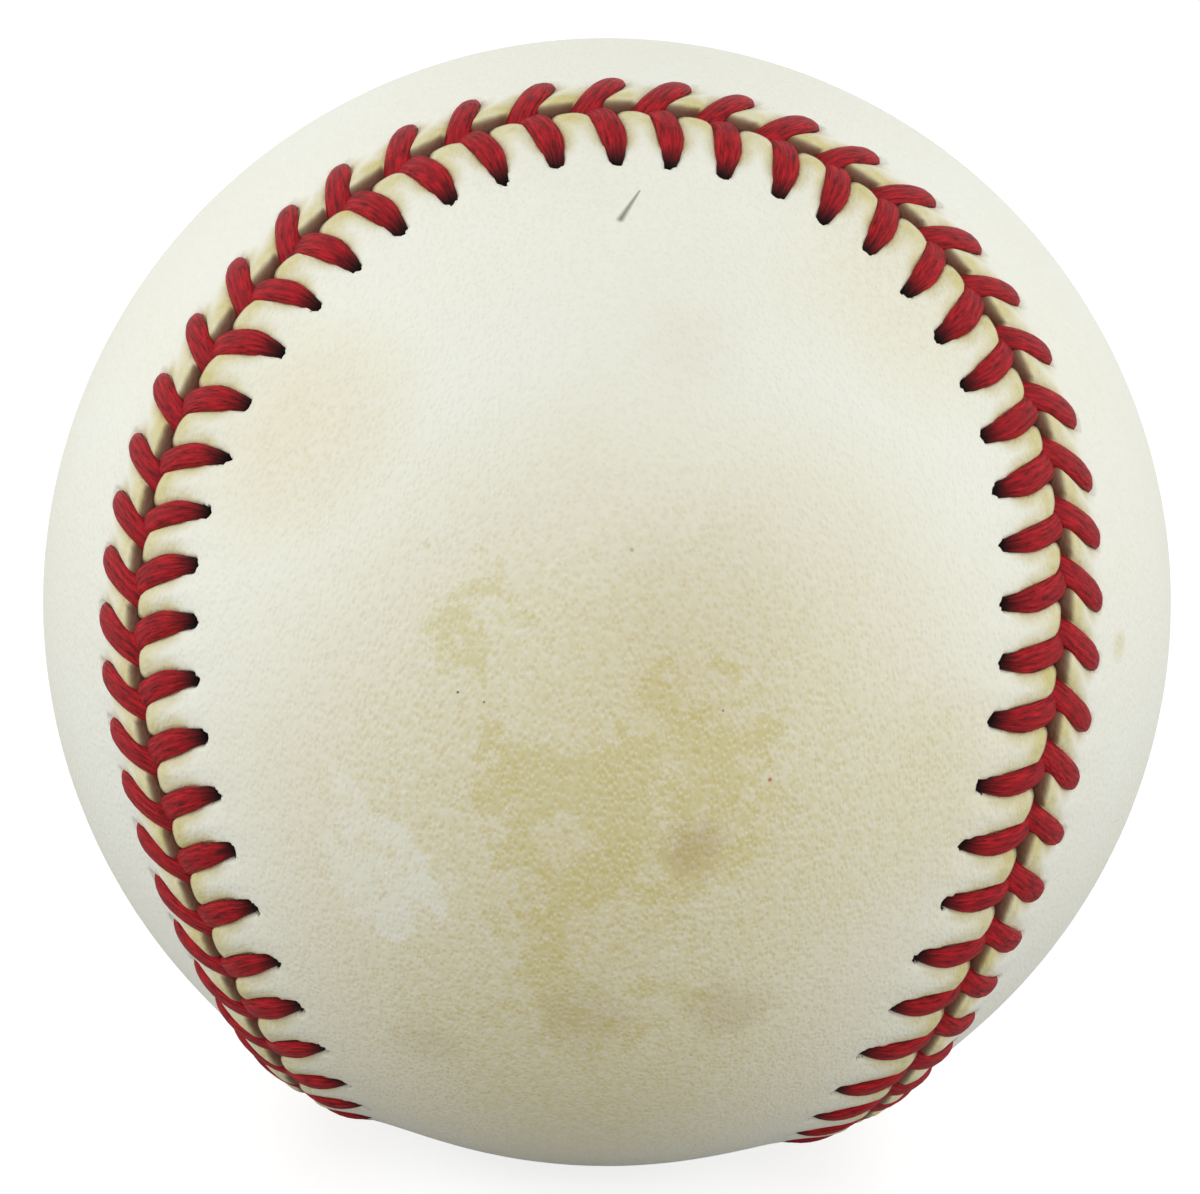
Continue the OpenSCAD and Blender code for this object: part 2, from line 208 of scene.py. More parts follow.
class SeamLine:
    """The closed curve of the seam on the ball, read by the distance along it."""
    STEPS = 2880
    START = math.radians(45)
    # Where the hand-sewn seam strays from its line: the stitch place in the middle of a stray
    # stretch, and how far the seam lies towards the upper panel there, in millimetres
    STRAYS = ((-21, -0.8), (-12.5, 1.0), (-5.5, -0.9), (4, 0.25), (13, -0.4))
    STRAY_W = 3
    # Where the stitches run ahead of their even places, and how far, in millimetres
    LEADS = ((-17, 0.3), (-9.5, -0.9), (-1.5, 0.65), (12.5, -0.55), (21, 1.0))
    LEAD_W = 4
    FRONT_TURN = Matrix.Rotation(math.radians(-135), 3, "Z")
    LOBES = 4

    def __init__(self, settings):
        self.settings = settings
        self.radius = settings.ball_radius
        self.frames = [self.frame(self.START + i * TURN / self.STEPS) for i in range(self.STEPS + 1)]
        self.distances = [0.0]
        for (here, _), (there, _) in zip(self.frames, self.frames[1:]):
            self.distances.append(self.distances[-1] + self.radius * (there - here).length)
        self.length = self.distances[-1]
        self.pitch = self.length / settings.stitches

    def frame(self, t):
        """Unit direction of a point of the seam, and the direction across the seam there."""
        first, fifth = self.settings.seam_share, self.settings.fifth_share
        third = 1 - first
        height = 2 * math.sqrt(first * third)
        point = Vector((
            first * math.cos(t) + third * math.cos(3 * t) + fifth * math.cos(5 * t),
            first * math.sin(t) - third * math.sin(3 * t) + fifth * math.sin(5 * t),
            height * math.sin(2 * t)))
        slope = Vector((
            -first * math.sin(t) - 3 * third * math.sin(3 * t) - 5 * fifth * math.sin(5 * t),
            first * math.cos(t) - 3 * third * math.cos(3 * t) + 5 * fifth * math.cos(5 * t),
            2 * height * math.cos(2 * t)))
        out = point.normalized()
        along = (slope - out * slope.dot(out)).normalized()
        return self.FRONT_TURN @ out, self.FRONT_TURN @ out.cross(along)

    def bumps(self, k, bumps, width):
        """Sum of bell-shaped bumps at stitch places round the seam."""
        n = self.settings.stitches
        apart = (((k - middle + n / 2) % n - n / 2, amount) for middle, amount in bumps)
        return sum(amount * math.exp(-(x / width) ** 2) for x, amount in apart) * MM

    def place(self, k):
        """Distance along the seam to the middle of stitch k."""
        crowd = self.settings.crowding_share * math.sin(self.LOBES * TURN * k / self.settings.stitches)
        return self.pitch * (k + crowd) + self.bumps(k, self.LEADS, self.LEAD_W)

    def point(self, s, d, h):
        """Point at a distance s along the seam, d beside it and h over the leather's face."""
        s = s % self.length
        d += self.bumps(s / self.pitch, self.STRAYS, self.STRAY_W)
        i = min(bisect.bisect_right(self.distances, s) - 1, self.STEPS - 1)
        part = (s - self.distances[i]) / (self.distances[i + 1] - self.distances[i])
        out = self.frames[i][0].lerp(self.frames[i + 1][0], part).normalized()
        across = self.frames[i][1].lerp(self.frames[i + 1][1], part)
        angle = d / self.radius
        return (self.radius + h) * (out * math.cos(angle) + across * math.sin(angle))


class Stitches:
    """Where each stitch lies, with the unevenness of work sewn by hand."""
    # How much of a stitch's lean is near the slit, as a power for each panel's stitches
    CURL = {LOWER: 1.9, UPPER: 1.4}
    # Distance from the seam to a stitch's crown, and height of the leather pressed beneath it
    CROWN_D = {LOWER: 1.5 * MM, UPPER: 2 * MM}
    CROWN_BED = 0.28 * MM
    # How square a stitch's hump is towards the slit, and towards its hole
    RISE_POWER = {LOWER: 2.6, UPPER: 2}
    FALL_POWER = {LOWER: 1.8, UPPER: 2.2}
    # How much further a stitch and its hole are from the seam than the common reach
    LONGER = {LOWER: 0, UPPER: 0.5 * MM}
    # Shares of the full width on the leather and at the hole, and where a stitch starts to narrow
    WIDE = {LOWER: 1, UPPER: 1.05}
    NARROW = {LOWER: 0.54, UPPER: 0.62}
    NARROW_D = {LOWER: 2.3 * MM, UPPER: 2.6 * MM}
    CLEARANCE = 0.02 * MM

    def __init__(self, seam, thread):
        self.seam = seam
        self.settings = seam.settings
        self.thread = thread
        dice = random.Random(self.settings.seed)
        usual = {"hole_s": 0.1 * MM, "hole_d": 0.08 * MM, "slit_s": 0.1 * MM, "width": 0.05}
        self.errors = {
            side: [
                {name: dice.gauss(0, error) for name, error in usual.items()}
                for _ in range(self.settings.stitches)
            ]
            for side in (LOWER, UPPER)
        }
        self.crown = self.CROWN_BED + thread.height / 2

    def error(self, side, k, name):
        """An error at any place along the seam, blended between the stitches on both sides."""
        low = math.floor(k)
        errors = self.errors[side]
        here, there = errors[low % len(errors)][name], errors[(low + 1) % len(errors)][name]
        return mix(here, there, smooth(0.3, 0.7, k - low))

    def reach(self, side):
        return self.settings.reach + self.LONGER[side]

    def s(self, side, k, d):
        """Distance along the seam of the line that stitch k follows, at d beside the seam."""
        cross, reach = self.settings.slit_cross, self.reach(side)
        part = min(1, max(0, (d + cross) / (reach + cross)))
        lean = 1 - (1 - part) ** self.CURL[side]
        slit = -side * self.settings.stagger + self.error(side, k, "slit_s")
        hole = self.settings.lean + self.error(side, k, "hole_s")
        return self.seam.place(k) + mix(slit, hole, lean)

    def half(self, side, at_hole):
        """Where a half of a stitch ends, and how square it is: towards its hole, or the slit."""
        if at_hole:
            return self.reach(side), self.FALL_POWER[side]
        return -self.settings.slit_cross, self.RISE_POWER[side]

    def slope(self, side, angle):
        """Distance beside the seam and height of the thread's middle line, at an angle that turns
        from 0 at the hole over a quarter turn at the crown to a half turn at the slit."""
        end_d, power = self.half(side, angle < math.pi / 2)
        d = mix(self.CROWN_D[side], end_d, abs(math.cos(angle)) ** (2 / power))
        return d, mix(-self.settings.run_depth, self.crown, abs(math.sin(angle)) ** (2 / power))

    def bed_height(self, side, d):
        """Height over the leather's face at which the thread just clears the leather."""
        crown_d = self.CROWN_D[side]
        end_d, power = self.half(side, d > crown_d)
        x = min(1, (d - crown_d) / (end_d - crown_d))
        line = mix(-self.settings.run_depth, self.crown, (1 - x ** power) ** (1 / power))
        return line - self.thread.height / 2 - self.CLEARANCE

    def width(self, side, k, d):
        """Width of the thread on the leather. It narrows into its hole."""
        full = self.thread.width * (1 + self.error(side, k, "width"))
        return full * mix(self.WIDE[side], self.NARROW[side],
                          smooth(self.NARROW_D[side], self.reach(side), d))


# Mesh helpers

# Vertices closer than this in metres are one
MERGE = 1e-6


def strip(bm, columns, rows):
    """A flat grid from 0 to 1 each way, whose vertices are then laid along the seam."""
    made = bmesh.ops.create_grid(bm, x_segments=columns, y_segments=rows, size=0.5)["verts"]
    bmesh.ops.translate(bm, verts=made, vec=(0.5, 0.5, 0))
    return made


def halve_steps(bm, first, row):
    """Splits the edges of one border row of the newest grid, so that it meets twice the columns."""
    members = {v for v in list(bm.verts)[first:] if abs(v.co.y - row) < 1e-4}
    edges = [e for e in bm.edges if e.verts[0] in members and e.verts[1] in members]
    bmesh.ops.subdivide_edges(bm, edges=edges, cuts=1)


def lay(verts, place, layers=None):
    """Moves flat grid vertices to where place puts them, and keeps the marks that it gives."""
    for v in verts:
        position, marks = place(v.co.x, v.co.y)
        v.co = position
        for name, value in marks.items():
            v[layers[name]] = value


def new_object(name, data):
    made = bpy.data.objects.new(name, data)
    bpy.context.scene.collection.objects.link(made)
    return made


def finish_mesh(bm, name):
    """Merges the closed seams of a mesh, turns its faces outwards and makes it an object."""
    bmesh.ops.remove_doubles(bm, verts=bm.verts, dist=MERGE)
    bmesh.ops.recalc_face_normals(bm, faces=bm.faces)
    for face in bm.faces:
        face.smooth = True
    mesh = bpy.data.meshes.new(name)
    bm.to_mesh(mesh)
    bm.free()
    return new_object(name, mesh)


# Cover panels

class PanelShape:
    """The leather's surface beside the seam, from its cut edge in the slit to the open field."""
    # Distances in millimetres from the cut edge of the rows of mesh over the tabs and past the holes
    FINE_ROWS = [0.06, 0.16, 0.3, 0.5, 0.76, 1.1, 1.5, 1.95, 2.4, 2.8, 3.1, 3.35, 3.55, 3.7, 3.85, 4.0,
                 4.15, 4.3, 4.45, 4.6, 4.75, 4.95, 5.2, 5.6]
    MIDDLE_ROWS = [5.6, 6.0, 6.5, 7.1]
    COARSE_ROWS = [7.1, 7.8, 8.6, 9.5]
    # Rows beneath the cover, from its seat to its cut edge: distance from the edge, and height
    UNDER_ROWS = [(8, -1.25), (6.5, -1.25), (4.9, -1.25), (2.4, -1.12), (0.3, -0.95), (0.09, -0.5),
                  (0, -0.08)]
    FINE_COLUMNS = 16
    FIELD_COLUMNS = 28
    # Distance from the seam to the cut edge at the tip of a tab and beside a stitch
    TIP_D = 0.07 * MM
    NOTCH_D = 0.6 * MM
    # Shares of a stitch's place between which the edge runs from its notch to its tip
    NOTCH = (0.12, 0.42)
    # Width of the stretch that follows the scalloped edge, and how fast it stops following
    SCALLOP_W = 2.6 * MM
    SCALLOP_POWER = 1.5
    # Width of the roll of a tab into the slit, and how square it is
    ROLL_W = {LOWER: 0.9 * MM, UPPER: 1.15 * MM}
    ROLL_POWER = {LOWER: 2.2, UPPER: 2}
    # The fall of a tab to the open field, as two bells: share of the height, and width in millimetres
    FALLS = ((0.6, 2.2), (0.4, 4.2))
    # How much lower a tab is beside a stitch than along its middle, the shares of a stitch's place
    # between which that ends, and the distance from the cut edge at which it is reached
    SHOULDER, SHOULDER_X, SHOULDER_D = 0.25, (0.2, 0.5), 1.5 * MM
    # A stitch's groove ends between two places beside it, in halves of its width, and at a distance
    # past the hole's middle
    GROOVE_X, GROOVE_D = (0.75, 1.2), 0.5 * MM
    # The tan beside a stitch, handling stain and painted shade, ends in the same way, between two
    # distances. The first number is how much of the slit's mark it has, where the cut edge has 1
    RUBBED, RUBBED_X, RUBBED_D = 0.58, (0.9, 2.6), (-1.5 * MM, 0.3 * MM)
    # Size of an awl hole as a share of the cover's sizes, its depth, and how dark it shows
    HOLE_SIZE = {LOWER: 1, UPPER: 0.65}
    HOLE_DEPTH = {LOWER: 0.95 * MM, UPPER: 0.5 * MM}
    HOLE_MARK = {LOWER: 1, UPPER: 0.45}
    # Where a hole's wall, the dirt and painted shade in it, and the dip round it start and end, in the
    # hole's own size
    WALL, DIRT, DIP = (0.75, 1.1), (0.7, 1.5), (1, 2.6)
    DIP_DEPTH = 0.08 * MM
    # The torn lip round a hole: its height, and its place and width in the hole's own size
    RIM, RIM_PLACE, RIM_WIDTH = 0.09 * MM, 1.35, 0.25
    # How ragged a hole is, and how many rags of two sizes there are to a millimetre
    RAGGED, RAGS = 0.3, (1.3, 3.7)
    # Distances from the cut edge at which the slit's dirt and painted shade start to fade and end
    DIRT_W = {LOWER: 0, UPPER: 0.12 * MM}
    DIRT_END = 3 * MM

    def __init__(self, seam, stitches, cover, side):
        self.seam = seam
        self.stitches = stitches
        self.cover = cover
        self.side = side

    def edge_d(self, offset):
        """Distance from the seam to the cut edge, against the share of a stitch from its line."""
        return mix(self.NOTCH_D, self.TIP_D, smooth(*self.NOTCH, abs(offset)))

    def ridge(self, e):
        """Height of the leather between two stitches, at a distance e from the cut edge."""
        rise, roll, power = self.cover.tab_rise, self.ROLL_W[self.side], self.ROLL_POWER[self.side]
        if e < roll:
            return rise * (1 - (1 - e / roll) ** power) ** (1 / power)
        x = (e - roll) / MM
        return rise * sum(share * math.exp(-(x / width) ** 2) for share, width in self.FALLS)

    def surface(self, k, e, h=None):
        """Point of the panel at e from the cut edge, beside place k, and its marks for the leather.

        h is given for the rows on the edge and beneath."""
        side, stitches = self.side, self.stitches
        nearest = round(k)
        offset = k - nearest
        d = e + self.edge_d(offset) * max(0, 1 - e / self.SCALLOP_W) ** self.SCALLOP_POWER
        s = stitches.s(side, k, d)
        if h is not None:
            return self.seam.point(s, side * d, h), {"slit": 1, "hole": 0}
        x = abs(s - stitches.s(side, nearest, d))
        beside = x / (stitches.width(side, nearest, d) / 2)
        hole_d = self.cover.hole_place + stitches.LONGER[side] + stitches.error(side, nearest, "hole_d")
        # A tab is puffed along its middle and lower beside the stitches
        ridge = self.ridge(e)
        shoulder = (1 - smooth(*self.SHOULDER_X, abs(offset))) * smooth(0, self.SHOULDER_D, e)
        ridge *= 1 - self.SHOULDER * shoulder
        groove = (1 - smooth(*self.GROOVE_X, beside)) * (1 - smooth(0, self.GROOVE_D, d - hole_d))
        height = mix(ridge, min(ridge, stitches.bed_height(side, d)), groove)
        # The hole has a ragged rim, and the leather dips around it
        place = self.seam.point(s, side * d, 0) / MM
        ragged = sum(noise.noise(place * rag) for rag in self.RAGS)
        around = math.hypot(x / self.cover.hole_width, (d - hole_d) / self.cover.hole_length)
        around *= (1 + self.RAGGED * ragged) / self.HOLE_SIZE[side]
        height -= self.DIP_DEPTH * (1 - smooth(*self.DIP, around))
        height += self.RIM * math.exp(-((around - self.RIM_PLACE) / self.RIM_WIDTH) ** 2)
        height = mix(height, -self.HOLE_DEPTH[side], 1 - smooth(*self.WALL, around))
        # Tan beside a stitch, up to its hole: handling stain and painted shade
        rubbed_and_shaded = (1 - smooth(*self.RUBBED_X, beside)) * (1 - smooth(*self.RUBBED_D, d - hole_d))
        # The slit mark paints dirt and shade, darkest at the cut edge in the slit
        marks = {
            "slit": max(1 - smooth(self.DIRT_W[side], self.DIRT_END, e), self.RUBBED * rubbed_and_shaded),
            # Dirt, and painted shade in and round the hole
            "hole": self.HOLE_MARK[side] * (1 - smooth(*self.DIRT, around)),
        }
        return self.seam.point(s, side * d, height), marks


def panel_band(bm, shape, layers, rows, columns, split=None):
    """A band of the panel that runs once round the seam. A row is a distance and a height, or a
    distance alone on the face. split is the border, 0 or 1, that meets twice the columns."""
    stitches = shape.stitches.settings.stitches
    first = len(bm.verts)
    strip(bm, columns * stitches, len(rows) - 1)
    if split is not None:
        halve_steps(bm, first, split)

    def place(x, y):
        e, h = rows[round(y * (len(rows) - 1))]
        return shape.surface(x * stitches, e * MM, None if h is None else h * MM)

    lay(list(bm.verts)[first:], place, layers)


def panel_field(bm, shape, tip, row, columns):
    """The open field of a panel. Rungs join the places the same way before and after a lobe's tip,
    and close to a point at both tips."""
    stitches = shape.stitches.settings.stitches
    rungs = stitches * columns // 2
    e, h = row

    def edge(column):
        return shape.surface(tip + column / columns, e * MM, None if h is None else h * MM)[0]

    before = [edge(-j) for j in range(rungs + 1)]
    after = [edge(j) for j in range(rungs + 1)]

    def place(x, y):
        j = round(y * rungs)
        a, b = before[j], after[j]
        return a.lerp(b, x).normalized() * mix(a.length, b.length, x), {}

    lay(strip(bm, shape.FIELD_COLUMNS, rungs), place)


def cover_panel(name, shape, tip):
    """One figure-eight panel of the cover: its face, its rolled and scalloped edge, its underside."""
    bm = bmesh.new()
    layers = {mark: bm.verts.layers.float.new(mark) for mark in ("slit", "hole")}
    fine = shape.FINE_COLUMNS
    middle, coarse = fine // 2, fine // 4
    face, inner, far = (
        [(e, None) for e in rows] for rows in (shape.FINE_ROWS, shape.MIDDLE_ROWS, shape.COARSE_ROWS))
    panel_band(bm, shape, layers, shape.UNDER_ROWS[2:] + face, fine)
    panel_band(bm, shape, layers, inner, middle, split=0)
    panel_band(bm, shape, layers, far, coarse, split=0)
    panel_field(bm, shape, tip, far[-1], coarse)
    panel_band(bm, shape, layers, shape.UNDER_ROWS[1:3], middle, split=1)
    panel_band(bm, shape, layers, shape.UNDER_ROWS[:2], coarse, split=1)
    panel_field(bm, shape, tip, shape.UNDER_ROWS[0], coarse)
    return finish_mesh(bm, name)


# Lacing

class ThreadPath:
    """The path of one needle's thread, with its width and thickness from place to place."""
    LEG_RINGS = 16
    RUN_RINGS = 3
    SIDES = 14
    # Steps of the seam between two places at which the seam's direction is looked up
    SEARCH = 8
    # Depth of the crease between the two plies, as a share of the thickness, and its width
    CREASE, CREASE_WIDTH = 0.14, 0.28
    # Heights between which the thread goes from pressed round to flat
    FLATTENED = (-0.75 * MM, -0.3 * MM)
    # How dark a stitch gets towards its hole, with dirt and painted shade in the hole's mouth,
    # and where beside the seam that starts and ends
    DARK_END = {LOWER: (1, 2.8 * MM, 4.4 * MM), UPPER: (0.2, 4.2 * MM, 4.8 * MM)}

    def __init__(self, stitches, first_side):
        self.stitches = stitches
        self.rings = []
        n = stitches.settings.stitches
        for k in range(n):
            side = first_side if k % 2 == 0 else -first_side
            self.add_leg(side, k)
            if k < n - 1:
                self.add_run(side, k)
        self.measure()

    def ground(self, side, k, d):
        return self.stitches.seam.point(self.stitches.s(side, k, d), side * d, 0)

    def add_ring(self, position, heading, width, thickness, hole):
        self.rings.append(SimpleNamespace(
            position=position, heading=heading, width=width, thickness=thickness, hole=hole))

    def add_leg(self, side, k):
        """The stitch from its hole over the leather and down into the slit."""
        stitches, thread = self.stitches, self.stitches.thread
        step = 0.3 * MM
        for i in range(self.LEG_RINGS + 1):
            d, height = stitches.slope(side, math.pi * i / self.LEG_RINGS)
            ground = self.ground(side, k, d)
            heading = self.ground(side, k, d - step) - self.ground(side, k, d + step)
            shown = smooth(*self.FLATTENED, height)
            width = mix(thread.pressed, stitches.width(side, k, d), shown)
            thickness = mix(thread.pressed, thread.height, shown)
            dark, start, end = self.DARK_END[side]
            position = ground * (1 + height / stitches.seam.radius)
            self.add_ring(position, heading, width, thickness, dark * smooth(start, end, d))

    def add_run(self, side, k):
        """The hidden stretch beneath the other panel, to its next hole."""
        stitches, thread = self.stitches, self.stitches.thread
        start = self.ground(side, k, -stitches.settings.slit_cross)
        end = self.ground(-side, k + 1, stitches.reach(-side))
        radius = stitches.seam.radius - stitches.settings.run_depth
        for i in range(1, self.RUN_RINGS + 1):
            position = start.lerp(end, i / (self.RUN_RINGS + 1)).normalized() * radius
            # A hidden run is painted as dark as a stitch in its hole: painted shade beneath the cover
            self.add_ring(position, end - start, thread.pressed, thread.pressed, 1)

    def measure(self):
        """Adds to each ring its distance along the path and the two axes of its section."""
        length = 0
        last = len(self.rings) - 1
        for i, ring in enumerate(self.rings):
            before, after = self.rings[max(0, i - 1)], self.rings[min(last, i + 1)]
            length += (ring.position - before.position).length
            ring.length = length
            tangent = (after.position - before.position).normalized()
            out = ring.position.normalized()
            heading = before.heading.normalized() + 2 * ring.heading.normalized()
            heading += after.heading.normalized()
            beside = self.beside(out, heading if heading.length > 1 else ring.heading)
            ring.thick_axis = tangent.cross(beside).normalized()
            ring.wide_axis = ring.thick_axis.cross(tangent)

    def beside(self, out, heading):
        """The direction across the thread on the ball's face, always the same way along the seam."""
        seam = self.stitches.seam
        beside = heading.cross(out).normalized()
        nearest = max(range(0, seam.STEPS, self.SEARCH), key=lambda i: seam.frames[i][0].dot(out))
        seam_out, across = seam.frames[nearest]
        return -beside if beside.dot(across.cross(seam_out)) < 0 else beside

    def point(self, i, part):
        """Point on the thread's face at ring i and at a share of the way round it."""
        ring = self.rings[i]
        x, y = math.cos(TURN * part), math.sin(TURN * part)
        y *= 1 - self.CREASE * math.exp(-(x / self.CREASE_WIDTH) ** 2)
        return (ring.position + ring.wide_axis * x * ring.width / 2
                + ring.thick_axis * y * ring.thickness / 2)


def needle_thread(name, path):
    """A tube along the thread's path. Its UV map holds the length along it and the share round it."""
    bm = bmesh.new()
    marks = {"hole": bm.verts.layers.float.new("hole")}
    uv = bm.loops.layers.uv.new("along_and_round")
    last = len(path.rings) - 1
    verts = strip(bm, last, path.SIDES)
    for face in bm.faces:
        for loop in face.loops:
            x, y = loop.vert.co.x, loop.vert.co.y
            loop[uv].uv = (path.rings[round(x * last)].length / MM, y)

    def place(x, y):
        i = round(x * last)
        return path.point(i, y), {"hole": path.rings[i].hole}

    lay(verts, place, marks)
    bmesh.ops.remove_doubles(bm, verts=bm.verts, dist=MERGE)
    bmesh.ops.holes_fill(bm, edges=[e for e in bm.edges if e.is_boundary], sides=0)
    return finish_mesh(bm, name)


# Materials

def join(node, inputs):
    """Sets or links a node's inputs, given by name or as a list in the node's own order. A node
    among them stands for its first output in use. The list of a MapRange holds its value, the two
    ends of the range that comes in, and what they become."""
    for name, value in inputs.items() if isinstance(inputs, dict) else enumerate(inputs):
        if isinstance(value, bpy.types.Node):
            value = next(output for output in value.outputs if output.enabled)
        if isinstance(value, bpy.types.NodeSocket):
            node.id_data.links.new(value, node.inputs[name])
        else:
            node.inputs[name].default_value = value


def add_node(tree, kind, inputs=(), **settings):
    """Adds a node to a tree and sets its properties and inputs."""
    made = tree.nodes.new("ShaderNode" + kind)
    for name, value in settings.items():
        setattr(made, name, value)
    join(made, inputs)
    return made


# Places of the mix node's factor and colours, which share their names with other inputs
FACTOR, A, B = 0, 6, 7


def empty_tree(owner):
    """Empties the node tree of a new material or world, and gives what adds nodes to it."""
    owner.use_nodes = True
    owner.node_tree.nodes.clear()
    return partial(add_node, owner.node_tree)


def start_material(name):
    """A material, what adds nodes to it, its shader and the object's coordinates in millimetres."""
    material = bpy.data.materials.new(name)
    add = empty_tree(material)
    shader = add("BsdfPrincipled")
    add("OutputMaterial", {"Surface": shader})
    coordinates = add("TexCoord")
    place = add("VectorMath", {0: coordinates.outputs["Object"], "Scale": 1 / MM}, operation="SCALE")
    return material, add, shader, place


# Marks on the leather: middle and radius in millimetres, and strength
HAZE = (
    ((2, -35.5, -5), 30, 0.56), ((0, -31, -18), 28, 0.54), ((0, -35, -9), 14, 0.66),
    ((16, -32, -3), 14, 0.42), ((-17.4, -28.9, 15.2), 10, 0.24), ((16.3, -21.8, 25.1), 11, 0.22),
    ((31, -19.8, 3.8), 1.3, 0.4),
)
PATCHES = (
    ((-3.5, -36.5, -3.5), 12, 0.44), ((-8.9, -35.9, 1.5), 9, 0.34), ((3, -36.7, -3), 16, 0.28),
    ((-3, -35.3, -10.5), 9, 0.44), ((-6.5, -36.1, 6), 9, 0.25), ((1, -33.5, -15), 14, 0.22),
)
BARE = (
    ((-11.5, -35, -1), 9, 0.35), ((-10, -34.8, -8.5), 11, 0.41), ((-2.3, -36.8, 3.2), 5.5, 0.4),
    ((-1.7, -36.6, -5.2), 3, 0.42), ((0.7, -35.2, -11.5), 4, 0.34),
)
BROWNED = (
    ((3.8, -29.7, 21.8), 4, 0.06), ((5.2, -35.8, 7.7), 9, 0.1), ((5.5, -36.2, -5.5), 2.6, 0.34),
    ((8.5, -32.1, -16.4), 3.5, 0.22), ((0.4, -32.7, -17.2), 4, 0.16), ((-9, -29.5, -20.5), 3, 0.15),
)
DOTS = (
    ((-8, -36, 2.8), 0.12, 0.9), ((-6.5, -36.3, 2.4), 0.12, 0.9), ((6.8, -36.3, 2.7), 0.11, 0.8),
    ((1.2, -35.2, 11.3), 0.18, 0.4),
)
RED_DOTS = (((9.7, -35.7, -1.3), 0.18, 0.8),)
# Share of a mark's radius at which it has its whole strength
MARK_CORE = 0.2
# A thin streak of dirt: its ends and half of its width in millimetres, and strength
STREAK_START, STREAK_END, STREAK_W, STREAK_SHOWN = (0.5, -22.1, 29.7), (-0.5, -23.9, 28.2), 0.3, 0.95
# Share of the streak's width at its start
STREAK_POINT = 0.3


def spots(add, place, marks, shift):
    """How strongly a set of round marks shows at a place. shift is how far, on each axis, the
    place has been carried along by the noise that makes the marks uneven."""
    shown = 0.0
    for middle, radius, strength in marks:
        moved = tuple(c + shift for c in middle)
        distance = add("VectorMath", [place, moved], operation="DISTANCE")
        near = add("MapRange", [distance, radius, radius * MARK_CORE, 0.0, strength],
                   interpolation_type="SMOOTHSTEP")
        shown = add("Math", [shown, near], operation="MAXIMUM")
    return shown


def streak(add, place):
    """How strongly the streak of dirt shows at a place. It widens from its start to its end."""
    run = Vector(STREAK_END) - Vector(STREAK_START)
    from_start = add("VectorMath", [place, STREAK_START], operation="SUBTRACT")
    along = add("VectorMath", [from_start, run / run.length_squared], operation="DOT_PRODUCT")
    part = add("Clamp", {"Value": along})
    reached = add("VectorMath", {0: run, "Scale": part}, operation="SCALE")
    distance = add("VectorMath", [from_start, reached], operation="DISTANCE")
    width = add("Math", [part, STREAK_W * (1 - STREAK_POINT), STREAK_W * STREAK_POINT],
                operation="MULTIPLY_ADD")
    return add("MapRange", [distance, width, 0.0, 0.0, STREAK_SHOWN])


